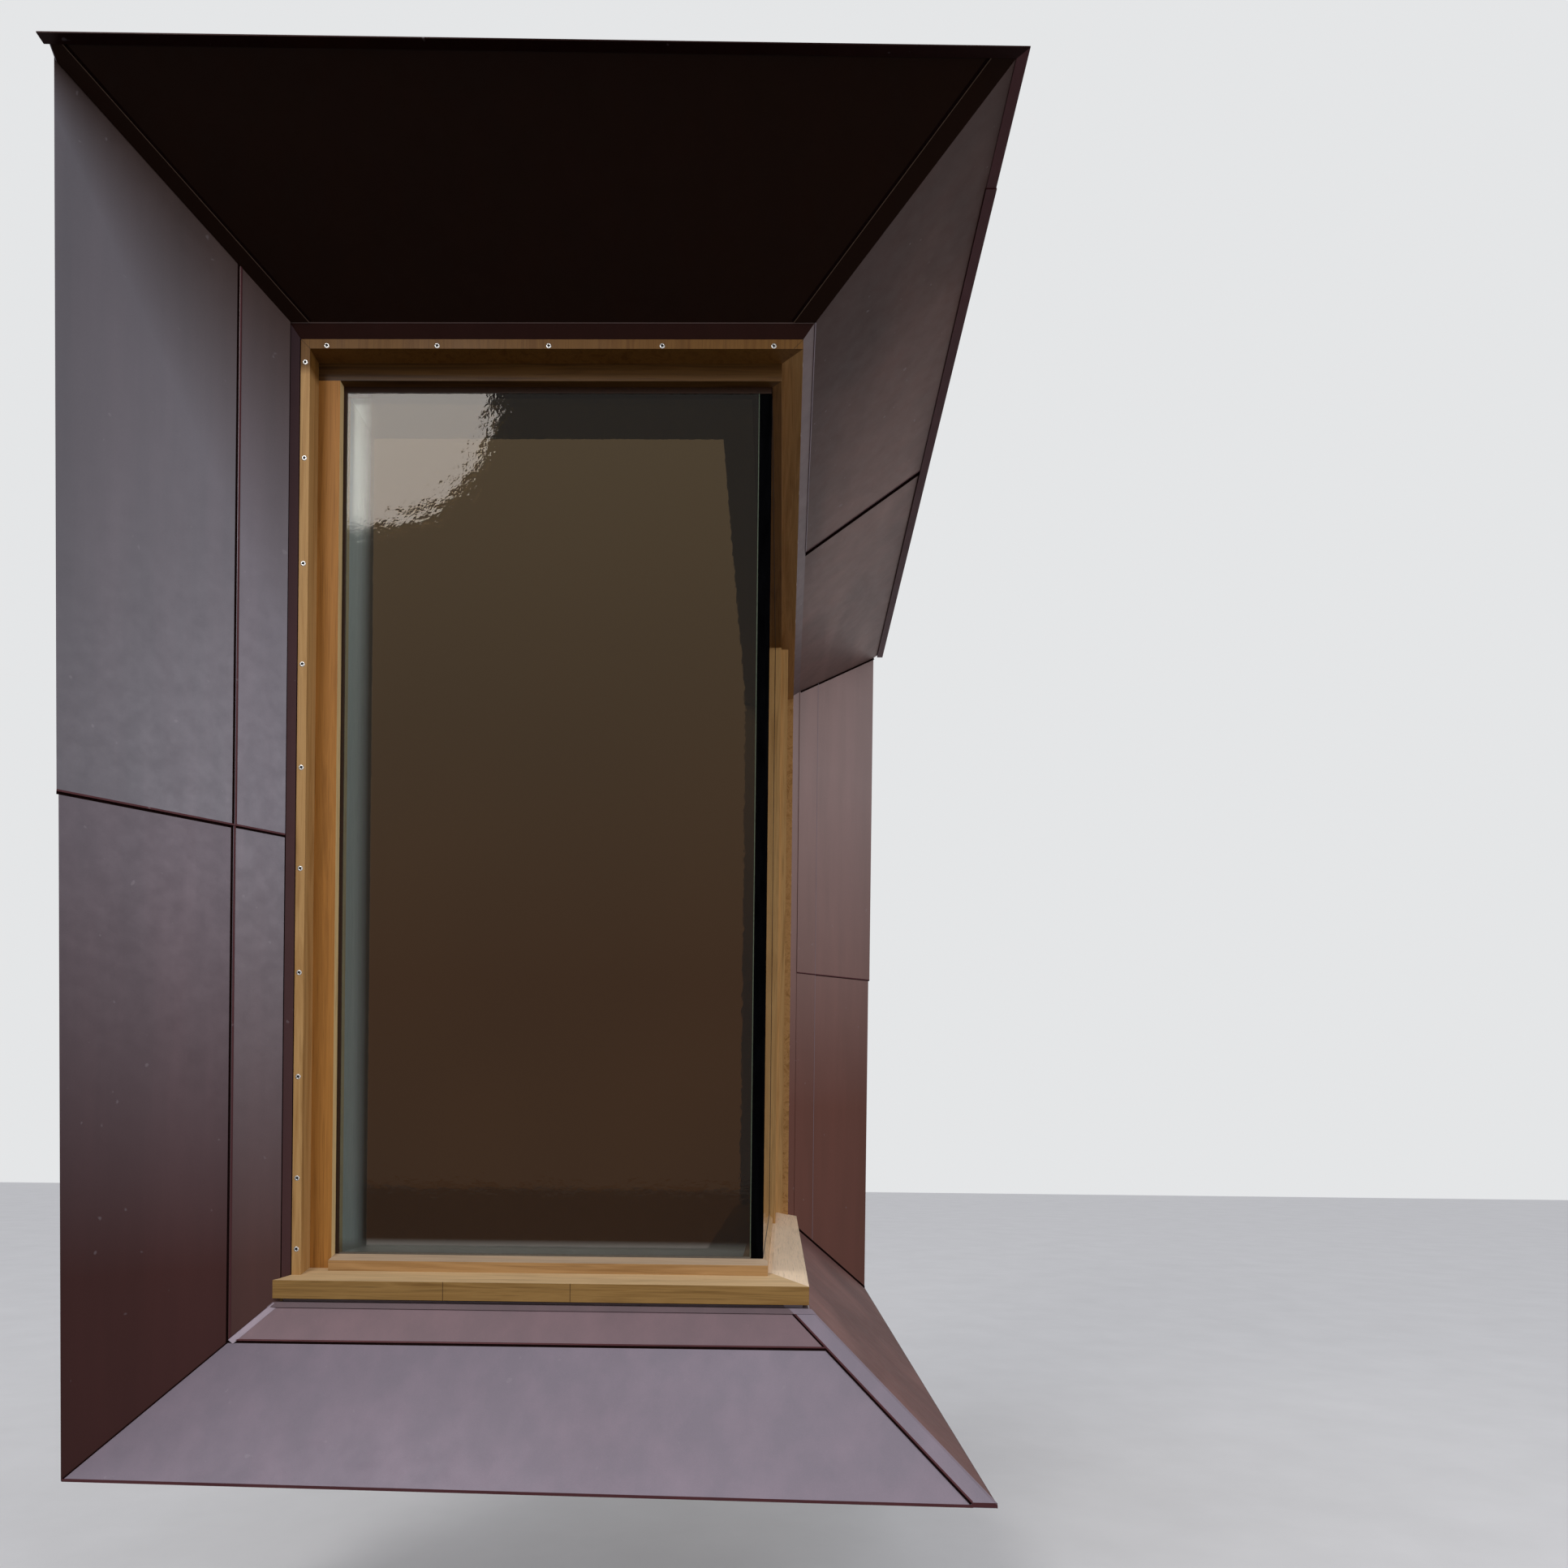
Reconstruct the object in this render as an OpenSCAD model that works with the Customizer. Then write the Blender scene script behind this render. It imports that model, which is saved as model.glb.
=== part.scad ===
// Corner bay window: an oak window with a frameless glass corner, set in a flared surround of
// zinc sheets that returns round the corner of the house. Millimetres, +Z up, the front face
// looks to -Y and the side face to +X. The origin is on the front wall face, in the middle of
// the front window's width, at the height of the fixing behind the apron.

/* [Window opening] */
// Oak frame on the front wall, from its left edge to the house corner
front_w = 1138; // [900:2:1600]
// Oak frame on the side wall, from the house corner to its far edge
side_w = 2012; // [1800:2:2600]
// Oak frame height, from the underside of the sill to the top of the head
frame_h = 2169; // [1600:1:2600]
// Height of the sill's underside above the fixing line
sill_z = 173; // [120:1:260]

/* [Oak frame] */
// Face width of the screwed cover strip round the frame
cover_w = 21; // [15:1:35]
// How far the cover strip stands in front of the frame's face
cover_d = 48; // [36:1:60]
// Face of the head rail that shows below the cover strip
head_face = 40; // [30:1:70]
// Face of the jambs that shows beside the cover strip
jamb_face = 50; // [30:1:70]
// Depth of oak in front of the glass
rebate_d = 22; // [14:1:35]
// Depth of oak behind the glass
bead_d = 20; // [12:1:35]
// Thickness of a sealed glass unit
glass_t = 28; // [20:1:36]
// How far a pane reaches into its groove
glass_hold = 10; // [6:1:16]
// Room between a pane's edge and the bottom of its groove
glass_play = 2; // [1:0.5:4]
// Clearance on each side of a pane in its groove
glass_gap = 0.3; // [0.2:0.1:0.5]

/* [Sill and bottom rail] */
// How far the sill stands out from the wall
sill_out = 35; // [20:1:60]
// Thickness of the sill at its front edge
sill_t = 41; // [30:1:55]
// Fall of the sill's top from the jamb's face to its front edge
sill_fall = 18; // [6:1:30]
// Width of the drip groove under the sill
drip_w = 6; // [4:1:8]
// Depth of the drip groove under the sill
drip_h = 5; // [3:1:8]
// Distance of the drip groove from the sill's front edge
drip_in = 8; // [5:1:12]
// Height of the bottom rail above the sill, at the glass
rail_h = 31; // [24:1:45]
// Fall of the bottom rail's top, from the glass to its face
rail_fall = 11; // [4:1:16]
// How far the front bottom rail stands in front of the jamb's face
rail_out = 18; // [4:1:24]
// Setback of the side bottom rail behind the jamb's face
rail_in = 10; // [2:1:12]

/* [Side casement] */
// Distance of the mullion from the house corner
mullion_at = 1430; // [1200:5:1500]
// Width of the mullion
mullion_w = 48; // [40:1:70]
// Width of the mullion's face that shows beside the sash
mullion_face = 10; // [4:1:20]
// How far the sash stands in front of the mullion
sash_out = 24; // [12:1:30]
// Depth of the sash behind the mullion's face
sash_deep = 40; // [34:1:46]
// Width of the sash's members inside the frame
sash_w = 56; // [44:1:80]
// How far the sash laps over the far jamb
sash_lap = 7; // [4:1:20]
// Running gap between the sash and the frame
sash_gap = 3; // [2:0.5:5]
// Drip gap below the sash
sash_drip = 8; // [4:1:12]
// Thickness of the casement's glass unit
sash_glass_t = 24; // [16:1:28]

/* [Room side] */
// Depth of the white lining behind the front frame
reveal_front = 150; // [100:5:260]
// Depth of the white lining behind the side frame
reveal_side = 75; // [60:5:200]
// Thickness of the lining boards
lining_t = 18; // [12:1:25]
// Thickness of the window boards
board_t = 22; // [15:1:30]
// How far the window boards stand into the room past the lining
board_nose = 20; // [10:1:50]

/* [Zinc surround] */
// How far the inner edge of the surround stands out from the front wall
mouth_out = 22; // [15:1:40]
// Height of the surround's inner edge above the oak frame
mouth_rise = 22; // [12:1:40]
// Distance of the surround's inner edges beside the oak frame
mouth_gap = 16; // [8:1:40]
// Slope of the front soffit
hood_angle = 39.9; // [34:0.1:46]
// Slope of the side soffit
hood_side_angle = 35.9; // [31:0.1:42]
// Angle between the left jamb's face and the front wall
jamb_angle = 45.5; // [40:0.1:55]
// Angle between the far jamb's face and the side wall
far_angle = 56.6; // [48:0.1:62]
// Slope of the front apron
apron_angle = 46.6; // [42:0.1:52]
// Slope of the side apron
apron_side_angle = 42.2; // [37:0.1:48]
// How far the jambs' outer edges stay behind the soffit's upper edge
tip_back = 21; // [8:1:40]

/* [Edges of the surround] */
// Height of the hood's drip edge above the surround's inner edge, over the house corner
rim_rise = 268; // [230:1:320]
// Fall of the hood's drip edge to the right, in mm per metre
rim_fall_x = 8; // [0:1:16]
// Fall of the hood's drip edge to the rear, in mm per metre
rim_fall_y = 12; // [0:1:16]
// Width of the flat drip strip under the hood's edge
rim_w = 22; // [15:1:40]
// How far the drip strip hangs below the soffit
rim_step = 3; // [2:1:12]
// Thickness of the hood at its folded edge
rim_hem = 2.5; // [2:0.5:5]
// How far the hood's edge passes the cheeks
rim_over = 10; // [4:1:30]
// Place of the lap in the side rim, in front of the wall plane
rim_lap_at = 60; // [20:5:200]
// Height of the roof's edge above the soffit's upper edge
roof_edge = 12; // [8:1:30]
// Rise of the roof from its edge to the house corner
roof_rise = 35; // [15:1:80]
// Level of the apron's lower edge below the fixing line, under the house corner
foot_drop = 152; // [120:1:180]
// Fall of the apron's lower edge to the right, in mm per metre
foot_fall = 10; // [0:1:15]
// Rise of the apron's lower edge to the rear, in mm per metre
foot_rise = 22; // [0:1:26]
// Depth of the hem that hangs below the apron's lower edge
foot_hem = 5; // [3:1:10]

/* [Zinc sheets] */
// Thickness of the folded sheets
sheet_t = 2.5; // [1.5:0.5:4]
// How far a sheet that laps over its neighbour stands in front of it
lap_step = 1.5; // [0.5:0.5:3]
// Place of the cross seam in the side soffit, from the house corner
soffit_seam_at = 943; // [700:5:1300]
// Height of the cross seams in the jambs above the sill's underside
jamb_seam_up = 1039; // [700:1:1400]
// Distance of the upright seams in the jambs from the surround's inner edge
jamb_seam_in = 78; // [50:1:130]
// Reach of the apron's lapped seam from the wall
apron_seam = 100; // [80:1:160]
// Width of the mitre flashings
mitre_w = 36; // [25:1:60]
// Reach of the apron's face from the wall at the height of its lip
apron_reach = 29; // [24:1:32]
// Gap between the sill and the lip
lip_gap = 8; // [4:1:14]
// Height of the lip that laps over the apron's upper edge
lip_h = 13; // [8:1:25]
// How far the lip stands in front of the apron
lip_out = 4; // [2:0.5:8]
// Depth of the tray that carries the sill, from the wall
tray_d = 18; // [12:1:22]

/* [Hidden] */

corner_x = front_w / 2;            // the house corner, seen from the origin
frame_top = sill_z + frame_h;
glass_d = cover_d + rebate_d;      // outer face of the glass, behind the wall face
glass_back = glass_d + glass_t;
frame_d = glass_back + bead_d;
jamb_w = cover_w + jamb_face;
head_low = frame_top - cover_w - head_face;
sill_top = sill_z + sill_t + sill_fall;
rail_top = sill_top + rail_h;
groove = glass_hold + glass_play;
rail_face = cover_d - rail_out;    // front rail's face, behind the wall face
rail_side_face = cover_d + rail_in;
lip_top = sill_z - lip_gap;
t = sheet_t;
far = 4000;                        // more than any part, for cutting blocks
zinc = [0.42, 0.34, 0.37];
zinc_dark = [0.25, 0.16, 0.16];
zinc_pale = [0.52, 0.46, 0.50];
oak = [0.72, 0.53, 0.30];
oak_pale = [0.80, 0.64, 0.42];
timber = [0.76, 0.66, 0.48];
white = [0.88, 0.90, 0.90];
glass = [0.62, 0.74, 0.76, 0.45];

// Planes and points are written with the house corner at x = 0, y = 0. A plane is
// [unit normal, distance], and the normal of a face points into the open.
function unit(v) = v / norm(v);
function plane(n, p) = [unit(n), unit(n) * p];
function moved(pl, d) = [pl[0], pl[1] + d];
function shifted(pl, v) = [pl[0], pl[1] + pl[0] * v];
function meet(a, b, c) =
    (cross(b[0], c[0]) * a[1] + cross(c[0], a[0]) * b[1] + cross(a[0], b[0]) * c[1])
    / (a[0] * cross(b[0], c[0]));
function mitre(a, b) = let (n = a[0] - b[0]) [unit(n), (a[1] - b[1]) / norm(n)];
function upright(p, q) = plane(cross(q - p, [0, 0, 1]), p);
function through(p, q, r) = plane(cross(q - p, r - p), p);
// The plane square to a face, w to the side of the line p-q that lies on the face
function beside(face, p, q, w = 0) = moved(plane(cross(q - p, face[0]), p), w);

// A solid between two end planes, with its long sides on the planes of a list, in order. An end
// with one inward corner has that corner first, and one with more is given as convex pieces.
module solid_between(a, b, sides, pieces = []) {
    n = len(sides);
    pa = [for (i = [0:n - 1]) meet(a, sides[i], sides[(i + 1) % n])];
    pb = [for (i = [0:n - 1]) meet(b, sides[i], sides[(i + 1) % n])];
    turns = cross(pa[1] - pa[0], pa[2] - pa[1]) * (pb[1] - pa[1]) > 0;
    ends = len(pieces) > 0 ? pieces : [[for (i = [0:n - 1]) i]];
    turned = [for (e = ends) [for (k = [0:len(e) - 1]) e[(len(e) - k) % len(e)]]];
    walls = [for (i = [0:n - 1]) let (j = (i + 1) % n)
        turns ? [i, n + i, n + j, j] : [j, n + j, n + i, i]];
    first = turns ? ends : turned;
    last = [for (e = turns ? turned : ends) [for (i = e) n + i]];
    polyhedron(points = concat(pa, pb), faces = concat(first, walls, last));
}

// A sheet whose visible face stands off a plane and whose back lies one thickness behind it
module sheet(face, sides, off = 0) {
    solid_between(moved(face, off), moved(face, -t), sides);
}

// The part of its children that lies behind a plane
module behind(pl) {
    n = pl[0];
    intersection() {
        children();
        rotate([0, acos(n[2]), atan2(n[1], n[0])])
            translate([-far, -far, pl[1] - 2 * far])
                cube(2 * far);
    }
}

module at_corner() {
    translate([corner_x, 0, 0]) children();
}

// The side window lies as the front one does, mirrored in the house corner's diagonal
module at_side() {
    at_corner() mirror([1, 1, 0]) children();
}

// Walls, and the faces of the hood, the jambs and the apron
hood_run = tan(hood_angle);
hood_side_run = tan(hood_side_angle);
apron_run = tan(apron_angle);
apron_side_run = tan(apron_side_angle);
mouth_side = mouth_out * hood_run / hood_side_run;
mouth_z = frame_top + mouth_rise;
mouth_left = -front_w - mouth_gap;
mouth_far = side_w + mouth_gap;
wall_front = plane([0, 1, 0], [0, 0, 0]);
wall_side = plane([-1, 0, 0], [0, 0, 0]);
hood_front = plane([0, -hood_run, -1], [0, -mouth_out, mouth_z]);
hood_side = plane([hood_side_run, 0, -1], [mouth_side, 0, mouth_z]);
jamb_left = plane([tan(jamb_angle), -1, 0], [mouth_left, -mouth_out, 0]);
jamb_far = plane([1, -tan(far_angle), 0], [mouth_side, mouth_far, 0]);
apron_front = plane([0, -apron_run, 1], [0, -apron_reach, lip_top]);
apron_side = plane([apron_side_run, 0, 1], [apron_reach * apron_run / apron_side_run, 0, lip_top]);
flash_front = plane([0, -mouth_rise, -mouth_out], [0, 0, frame_top]);
flash_side = plane([mouth_rise, 0, -mouth_side], [0, 0, frame_top]);
flash_left = plane([mouth_out, -mouth_gap, 0], [-front_w, 0, 0]);
flash_far = plane([mouth_gap, -mouth_side, 0], [0, side_w, 0]);
hood_front_back = moved(hood_front, -t);
hood_side_back = moved(hood_side, -t);
apron_front_back = moved(apron_front, -t);
apron_side_back = moved(apron_side, -t);

// The hood's drip edge, where the soffits end, and the jambs' outer edges behind it
rim = plane([-rim_fall_x / 1000, -rim_fall_y / 1000, -1], [0, 0, mouth_z + rim_rise]);
rim_top = shifted(rim, [0, 0, rim_step]);
in_corner = meet(rim_top, hood_front, hood_side);
inner_front = upright(in_corner - cross(hood_front[0], rim_top[0]), in_corner);
inner_side = upright(in_corner, in_corner + cross(hood_side[0], rim_top[0]));
left_top = meet(jamb_left, hood_front, moved(inner_front, -tip_back));
far_top = meet(jamb_far, hood_side, moved(inner_side, -tip_back));

// The apron's lower edge, and the cheeks that close the jambs
foot = plane([-foot_fall / 1000, foot_rise / 1000, -1], [0, 0, -foot_drop]);
foot_low = shifted(foot, [0, 0, -foot_hem]);
foot_left = meet(jamb_left, apron_front, foot);
foot_far = meet(jamb_far, apron_side, foot);
foot_corner = meet(apron_front, apron_side, foot);
cheek_left = plane(cross([0, 1, 0], foot_left - left_top), left_top);
cheek_far = plane(cross([1, 0, 0], foot_far - far_top), far_top);
cheek_left_in = moved(cheek_left, -t);
cheek_far_in = moved(cheek_far, -t);
drip_front = upright(foot_left, foot_corner);
drip_side = upright(foot_corner, foot_far);
hip_apron = upright([0, 0, 0], foot_corner);

// The hood's rim: a flat strip round the outside of the soffits
end_left = moved(cheek_left, rim_over);
end_far = moved(cheek_far, rim_over);
out_front = shifted(hood_front, [0, -rim_w, -rim_step]);
out_side = shifted(hood_side, [rim_w, 0, -rim_step]);
in_left = meet(rim_top, hood_front, end_left);
in_far = meet(rim_top, hood_side, end_far);
out_left = meet(rim, out_front, end_left);
out_corner = meet(rim, out_front, out_side);
out_far = meet(rim, out_side, end_far);
edge_front = upright(out_left, out_corner);
edge_side = upright(out_corner, out_far);
rim_mitre = upright(in_corner, out_corner);
hip_hood = upright([0, 0, 0], in_corner);
up_edge = [0, 0, roof_edge];
up_hem = [0, 0, rim_hem];
roof_corner = [0, 0, in_corner[2] + roof_edge + roof_rise];
nose_front = through(out_left + up_hem, out_corner + up_hem, in_left + up_edge);
nose_side = through(out_corner + up_hem, out_far + up_hem, in_far + up_edge);
roof_front = through(in_left + up_edge, in_corner + up_edge, roof_corner);
roof_side = through(in_corner + up_edge, in_far + up_edge, roof_corner);

// Seams, and the edges of the lapped strips
left_seam = plane([0, -1, 0], [0, -mouth_out - jamb_seam_in, 0]);
far_seam = plane([1, 0, 0], [mouth_side + jamb_seam_in, 0, 0]);
jamb_seam = plane([0, 0, 1], [0, 0, sill_z + jamb_seam_up]);
soffit_seam = plane([0, 1, 0], [0, soffit_seam_at, 0]);
rim_lap = plane([0, 1, 0], [0, -rim_lap_at, 0]);
function down_apron(reach) = plane([0, -1, -apron_run],
    [0, -reach, lip_top - (reach - apron_reach) * apron_run]);
apron_lap = down_apron(apron_seam);
lip_low = down_apron(apron_reach + lip_h / apron_run);
jamb_left_max = moved(jamb_left, 2 * lap_step);
jamb_far_max = moved(jamb_far, 2 * lap_step);
jamb_left_low = moved(jamb_left, lap_step);
jamb_far_low = moved(jamb_far, lap_step);
mouth_front = mitre(hood_front, flash_front);
mouth_side_pl = mitre(hood_side, flash_side);
mouth_left_pl = mitre(jamb_left, flash_left);
mouth_far_pl = mitre(jamb_far, flash_far);
tray_top = plane([0, 0, 1], [0, 0, lip_top]);
tray_low = plane([0, 0, 1], [0, 0, lip_top - t]);
sill_low = plane([0, 0, 1], [0, 0, sill_z]);
hood_left_edge = beside(hood_front, meet(hood_front, jamb_left, mouth_front), left_top, mitre_w);
hood_corner_edge = beside(hood_front, meet(hood_front, hood_side, mouth_front), in_corner, -mitre_w);
apron_corner_edge = beside(apron_front, meet(apron_front, apron_side, tray_low), foot_corner,
    mitre_w);
drip_front_in = moved(drip_front, -t);
drip_side_in = moved(drip_side, -t);
diagonal = plane([1, 1, 0], [0, 0, 0]);
function flipped(pl) = [-pl[0], -pl[1]];
// A plane as it stands after mirroring in the house corner's diagonal
function across(pl) = [[-pl[0][1], -pl[0][0], pl[0][2]], pl[1]];

// Zinc hood
module hood_soffit_front() {
    color(zinc_dark) at_corner()
        sheet(hood_front, [mouth_front, hood_left_edge, inner_front, hood_corner_edge]);
}

module hood_soffit_side_near() {
    color(zinc_dark) at_corner()
        sheet(hood_side, [mouth_side_pl, hip_hood, inner_side, soffit_seam], lap_step);
}

module hood_soffit_side_far() {
    color(zinc_dark) at_corner()
        sheet(hood_side, [mouth_side_pl, soffit_seam, inner_side, cheek_far_in, jamb_far_max]);
}

module hood_corner_flashing() {
    color(zinc_dark) at_corner()
        sheet(hood_front, [mouth_front, hood_corner_edge, inner_front, hip_hood], lap_step);
}

module hood_left_flashing() {
    color(zinc_dark) at_corner()
        sheet(hood_front, [mouth_front, jamb_left_max, cheek_left_in, inner_front, hood_left_edge],
            lap_step);
}

module hood_rim_front() {
    color(zinc) at_corner()
        solid_between(end_left, rim_mitre, [rim, edge_front, nose_front, inner_front]);
}

module hood_rim_side_near() {
    color(zinc) at_corner()
        solid_between(rim_mitre, rim_lap, [rim, edge_side, nose_side, inner_side]);
}

module hood_rim_side_far() {
    lapped = [moved(rim, lap_step), moved(edge_side, lap_step), nose_side, inner_side];
    color(zinc) at_corner()
        solid_between(rim_lap, end_far, lapped);
}

module hood_roof_front() {
    color(zinc) at_corner()
        solid_between(moved(roof_front, t), roof_front,
            [nose_front, end_left, wall_front, hip_hood]);
}

module hood_roof_side() {
    color(zinc) at_corner()
        solid_between(moved(roof_side, t), roof_side, [nose_side, hip_hood, wall_side, end_far]);
}

module head_flashing_front() {
    color(zinc) at_corner()
        sheet(flash_front, [mouth_front, mitre(flash_front, flash_left), wall_front, hip_hood]);
}

module head_flashing_side() {
    color(zinc) at_corner()
        sheet(flash_side, [mouth_side_pl, hip_hood, wall_side, mitre(flash_side, flash_far)]);
}

// Jambs. Each has four sheets, and each sheet laps over the one below it and the one outside it.
module above_apron(back) {
    difference() {
        children();
        behind(back) behind(tray_low) translate([-far, -far, -far]) cube(2 * far);
    }
}

module left_jamb_outer_upper() {
    color(zinc) at_corner()
        sheet(jamb_left, [left_seam, hood_front_back, mitre(jamb_left, cheek_left), jamb_seam],
            lap_step);
}

module left_jamb_outer_lower() {
    color(zinc_dark) at_corner() above_apron(apron_front_back)
        sheet(jamb_left, [left_seam, jamb_seam, mitre(jamb_left, cheek_left), foot_low]);
}

module left_jamb_inner_upper() {
    color(zinc) at_corner()
        sheet(jamb_left, [mouth_left_pl, hood_front_back, left_seam, jamb_seam], 2 * lap_step);
}

module left_jamb_inner_lower() {
    color(zinc_dark) at_corner() above_apron(apron_front_back)
        sheet(jamb_left, [mouth_left_pl, jamb_seam, left_seam, foot_low], lap_step);
}

module left_jamb_flashing() {
    color(zinc_pale) at_corner()
        sheet(flash_left, [mouth_left_pl, mitre(flash_front, flash_left), wall_front, sill_low]);
}

module left_cheek() {
    color(zinc) at_corner()
        sheet(cheek_left, [hood_front, mitre(jamb_left, cheek_left), foot_low, wall_front,
            roof_front, inner_front]);
}

module far_jamb_outer_upper() {
    color(zinc) at_corner()
        sheet(jamb_far, [far_seam, hood_side_back, mitre(jamb_far, cheek_far), jamb_seam],
            lap_step);
}

module far_jamb_outer_lower() {
    color(zinc) at_corner() above_apron(apron_side_back)
        sheet(jamb_far, [far_seam, jamb_seam, mitre(jamb_far, cheek_far), foot_low]);
}

module far_jamb_inner_upper() {
    color(zinc) at_corner()
        sheet(jamb_far, [mouth_far_pl, hood_side_back, far_seam, jamb_seam], 2 * lap_step);
}

module far_jamb_inner_lower() {
    color(zinc) at_corner() above_apron(apron_side_back)
        sheet(jamb_far, [mouth_far_pl, jamb_seam, far_seam, foot_low], lap_step);
}

module far_jamb_flashing() {
    color(zinc_pale) at_corner()
        sheet(flash_far, [mouth_far_pl, mitre(flash_side, flash_far), wall_side, sill_low]);
}

module far_cheek() {
    color(zinc) at_corner()
        sheet(cheek_far, [hood_side, mitre(jamb_far, cheek_far), foot_low, wall_side,
            roof_side, inner_side]);
}

// Apron, and the tray under the sill whose front edge laps over the apron as a lip
module sill_tray_front() {
    back_step = plane([0, -1, 0], [0, -tray_d, 0]);
    color(zinc) at_corner()
        solid_between(jamb_left_low, apron_corner_edge,
            [moved(apron_front, lip_out), lip_low, moved(apron_front, lap_step), tray_low,
            wall_front, sill_low, back_step, tray_top], [[7, 0, 1, 2], [2, 3, 6, 7], [3, 4, 5, 6]]);
}

module sill_tray_side() {
    back_step = plane([1, 0, 0], [tray_d, 0, 0]);
    color(zinc) at_corner()
        solid_between(hip_apron, jamb_far_low,
            [back_step, tray_top, apron_side, tray_low, wall_side, sill_low]);
}

module apron_band_front() {
    color(zinc_pale) at_corner()
        sheet(apron_front, [tray_low, jamb_left_low, apron_lap, apron_corner_edge], lap_step);
}

module apron_sheet_front() {
    color(zinc_pale) at_corner()
        solid_between(jamb_left_low, apron_corner_edge,
            [drip_front_in, apron_front_back, apron_lap, apron_front, drip_front, foot_low]);
}

module apron_corner_flashing() {
    color(zinc_pale) at_corner()
        solid_between(apron_corner_edge, hip_apron,
            [drip_front_in, apron_front_back, tray_low, moved(apron_front, 2 * lap_step),
            drip_front, foot_low]);
}

module apron_sheet_side() {
    color(zinc_pale) at_corner()
        solid_between(hip_apron, jamb_far_low,
            [drip_side_in, apron_side_back, tray_low, apron_side, drip_side, foot_low]);
}

module apron_underside_front() {
    color(zinc_dark) at_corner()
        sheet(foot, [apron_front_back, cheek_left_in, wall_front, hip_apron]);
}

module apron_underside_side() {
    color(zinc_dark) at_corner()
        sheet(foot, [apron_side_back, hip_apron, wall_side, cheek_far_in]);
}

// Timber backing behind the sheets, fixed to the walls
module hood_backing_front() {
    color(timber) at_corner()
        solid_between(cheek_left_in, hip_hood,
            [moved(flash_front, -t), hood_front_back, inner_front, roof_front, wall_front]);
}

module hood_backing_side() {
    color(timber) at_corner()
        solid_between(hip_hood, cheek_far_in,
            [moved(flash_side, -t), hood_side_back, inner_side, roof_side, wall_side]);
}

module left_jamb_backing() {
    sides = [moved(flash_left, -t), moved(jamb_left, -t), cheek_left_in, wall_front];
    color(timber) at_corner() above_apron(apron_front_back)
        behind(flipped(moved(flash_front, -t)))
            solid_between(hood_front_back, foot, sides);
}

module far_jamb_backing() {
    sides = [moved(flash_far, -t), moved(jamb_far, -t), cheek_far_in, wall_side];
    color(timber) at_corner() above_apron(apron_side_back)
        behind(flipped(moved(flash_side, -t)))
            solid_between(hood_side_back, foot, sides);
}

module apron_backing_front() {
    color(timber) at_corner()
        solid_between(cheek_left_in, hip_apron,
            [apron_front_back, moved(foot, -t), wall_front, tray_low]);
}

module apron_backing_side() {
    color(timber) at_corner()
        solid_between(hip_apron, cheek_far_in,
            [apron_side_back, moved(foot, -t), wall_side, tray_low]);
}

// Oak frame. Each member runs along -X from the house corner, with +Y into the wall.
module box(x0, x1, y0, y1, z0, z1) {
    translate([x0, y0, z0]) cube([x1 - x0, y1 - y0, z1 - z0]);
}

module along_x(x0, x1) {
    translate([x0, 0, 0]) rotate([90, 0, 90]) linear_extrude(x1 - x0) children();
}

module glass_groove(run) {
    box(-run + jamb_w - groove, 0, glass_d - glass_gap, glass_back + glass_gap,
        rail_top - groove, head_low + groove);
}

module sill_block(run) {
    groove_at = -sill_out + drip_in;
    along_x(-run - sill_out - mouth_gap, sill_out)
        polygon([[-sill_out, sill_z], [-sill_out, sill_z + sill_t], [cover_d, sill_top],
            [frame_d, sill_top], [frame_d, sill_z], [groove_at + drip_w, sill_z],
            [groove_at + drip_w, sill_z + drip_h], [groove_at, sill_z + drip_h],
            [groove_at, sill_z]]);
}

// The sill's outer end is scribed to the jamb's sheet and flashing
module sill(run, jamb_face_pl, flash_pl) {
    behind(diagonal) difference() {
        sill_block(run);
        behind(jamb_face_pl) behind(flash_pl) translate([-far, -far, -far]) cube([2 * far, far, 2 * far]);
        box(-far, -run, 0, far, -far, far);
    }
}

module head(run) {
    behind(diagonal) difference() {
        box(-run, 0, cover_d, frame_d, head_low, frame_top);
        glass_groove(run);
    }
}

module jamb(run) {
    difference() {
        box(-run, -run + jamb_w, cover_d, frame_d, sill_top, head_low);
        glass_groove(run);
    }
}

module rail(run, face) {
    behind(diagonal) difference() {
        along_x(-run + jamb_w, -rail_side_face)
            polygon([[face, sill_z], [face, rail_top - rail_fall], [glass_d, rail_top],
                [frame_d, rail_top], [frame_d, sill_z]]);
        sill_block(run);
        glass_groove(run);
    }
}

module cover_strips(run) {
    behind(diagonal) difference() {
        union() {
            box(-run, -run + cover_w, 0, cover_d, sill_z, frame_top);
            box(-run, 0, 0, cover_d, frame_top - cover_w, frame_top);
        }
        sill_block(run);
    }
}

module pane(x0, x1) {
    box(x0, x1, glass_d, glass_back, rail_top - glass_hold, head_low + glass_hold);
}

module oak_head_front() { color(oak) at_corner() head(front_w); }

module oak_head_side() { color(oak) at_side() head(side_w); }

module oak_jamb_left() { color(oak) at_corner() jamb(front_w); }

module oak_jamb_far() { color(oak) at_side() jamb(side_w); }

module oak_sill_front() { color(oak_pale) at_corner() sill(front_w, jamb_left_low, flash_left); }

module oak_sill_side() {
    color(oak_pale) at_side() sill(side_w, across(jamb_far_low), across(flash_far));
}

module oak_rail_front() { color(oak_pale) at_corner() rail(front_w, rail_face); }

module oak_rail_side() { color(oak_pale) at_side() rail(side_w, rail_side_face); }

module cover_strips_front() { color(oak) at_corner() cover_strips(front_w); }

module cover_strips_side() { color(oak) at_side() cover_strips(side_w); }

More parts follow.
